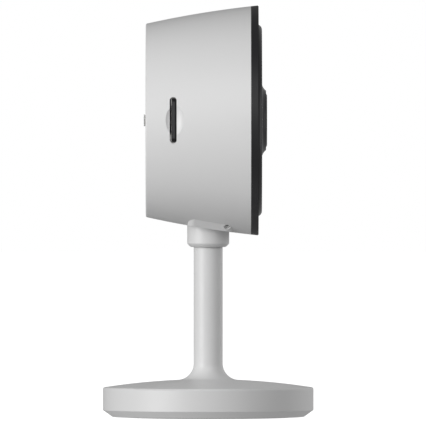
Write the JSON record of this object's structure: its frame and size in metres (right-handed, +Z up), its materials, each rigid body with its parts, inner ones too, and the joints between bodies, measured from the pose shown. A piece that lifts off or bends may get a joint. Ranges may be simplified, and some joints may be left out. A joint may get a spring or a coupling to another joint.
{
  "type": "security camera",
  "caption": "Indoor security camera with a round tilting head on a slim pole and a weighted round base, side card slot and rear power socket.",
  "frame": {"origin": "centre of the base's underside, on the pole's axis", "axes": "+Z up along the pole, the lens looks along -Y, the card slot is on the -X side"},
  "size_m": [0.069, 0.0632, 0.1236],
  "materials": {
    "white_shell": "fine satin texture",
    "white_stand": "satin",
    "dark_bezel": "satin",
    "smoked_window": "polished",
    "lens_trim": "satin",
    "clear_glass": "polished",
    "coated_glass": "coated",
    "filter_glass_red": "coated",
    "black_plastic": "moulded",
    "grey_plastic": "moulded",
    "bonding_tape": "matte",
    "foot_rubber": "matte",
    "plain_steel": "zinc plated",
    "dark_steel": "blackened",
    "cast_iron": "as cast",
    "lens_metal": "black anodised",
    "board_green": "solder mask",
    "board_black": "solder mask",
    "chip_black": "moulded",
    "shield_can": "tinned",
    "socket_steel": "plated",
    "ribbon_film": "film",
    "lead_black": "sheathed",
    "antenna_film": "film",
    "cone_paper": "pressed",
    "lamp_resin": "clear dark",
    "indicator": "clear"
  },
  "bodies": {
    "stand": {"stand_shell": "white_stand", "pole_core": "plain_steel", "ballast_weight": "cast_iron", "ballast_screws": "dark_steel", "base_plate": "grey_plastic", "base_screws": "plain_steel", "foot_ring": "foot_rubber"},
    "swivel": {"swivel_knuckle": "plain_steel", "tie_rod": "plain_steel", "pan_lock_nut": "plain_steel", "pan_spring_washer": "dark_steel"},
    "head": {"neck_collar": "white_shell", "neck_bracket": "plain_steel", "bracket_screws": "plain_steel", "hinge_pin": "plain_steel", "rear_housing": "white_shell", "front_bezel": "dark_bezel", "window_adhesive": "bonding_tape", "front_window": "smoked_window", "lens_ring": "lens_trim", "lens_cover": "clear_glass", "inner_frame": "black_plastic", "frame_screws": "plain_steel", "lens_barrel": "lens_metal", "lens_front_element": "coated_glass", "lens_rear_element": "coated_glass", "lens_holder": "black_plastic", "holder_screws": "plain_steel", "sensor_board": "board_green", "image_sensor": "chip_black", "filter_actuator": "black_plastic", "led_board": "board_black", "ir_leds": "lamp_resin", "status_led": "indicator", "light_sensor": "indicator", "microphone": "shield_can", "main_board": "board_green", "board_screws": "plain_steel", "processor": "chip_black", "memory_chip": "chip_black", "radio_shield": "shield_can", "card_socket_base": "black_plastic", "card_socket_shell": "socket_steel", "usb_board": "board_green", "usb_screws": "plain_steel", "usb_shell": "socket_steel", "usb_tongue": "black_plastic", "usb_ribbon": "ribbon_film", "sensor_ribbon": "ribbon_film", "wifi_antenna": "antenna_film", "antenna_cable": "lead_black", "speaker_frame": "dark_steel", "speaker_cone": "cone_paper", "reset_board": "board_green", "reset_switch_body": "black_plastic"},
    "card": {"memory_card": "chip_black"},
    "reset_button": {"reset_plunger": "grey_plastic"},
    "filter_carriage": {"filter_frame": "black_plastic", "infrared_filter": "filter_glass_red", "clear_filter": "clear_glass"}
  },
  "joints": [
    {"name": "pan", "type": "hinge", "parent": "stand", "child": "swivel", "pos_m": [0, 0, 0.0495], "axis": [0, 0, 1], "range_deg": [-170, 170]},
    {"name": "tilt", "type": "hinge", "parent": "swivel", "child": "head", "pos_m": [0, 0, 0.0524], "axis": [1, 0, 0], "range_deg": [-10, 10]},
    {"name": "card_slide", "type": "slide", "parent": "head", "child": "card", "axis": [-1, 0, 0], "range_m": [0, 0.018]},
    {"name": "reset_press", "type": "slide", "parent": "head", "child": "reset_button", "axis": [0.6786, 0.0995, 0.7277], "range_m": [0, 0.00025], "stiffness_N_per_m": 400},
    {"name": "filter_shift", "type": "slide", "parent": "head", "child": "filter_carriage", "axis": [-1, 0, 0], "range_m": [0, 0.006]}
  ]
}
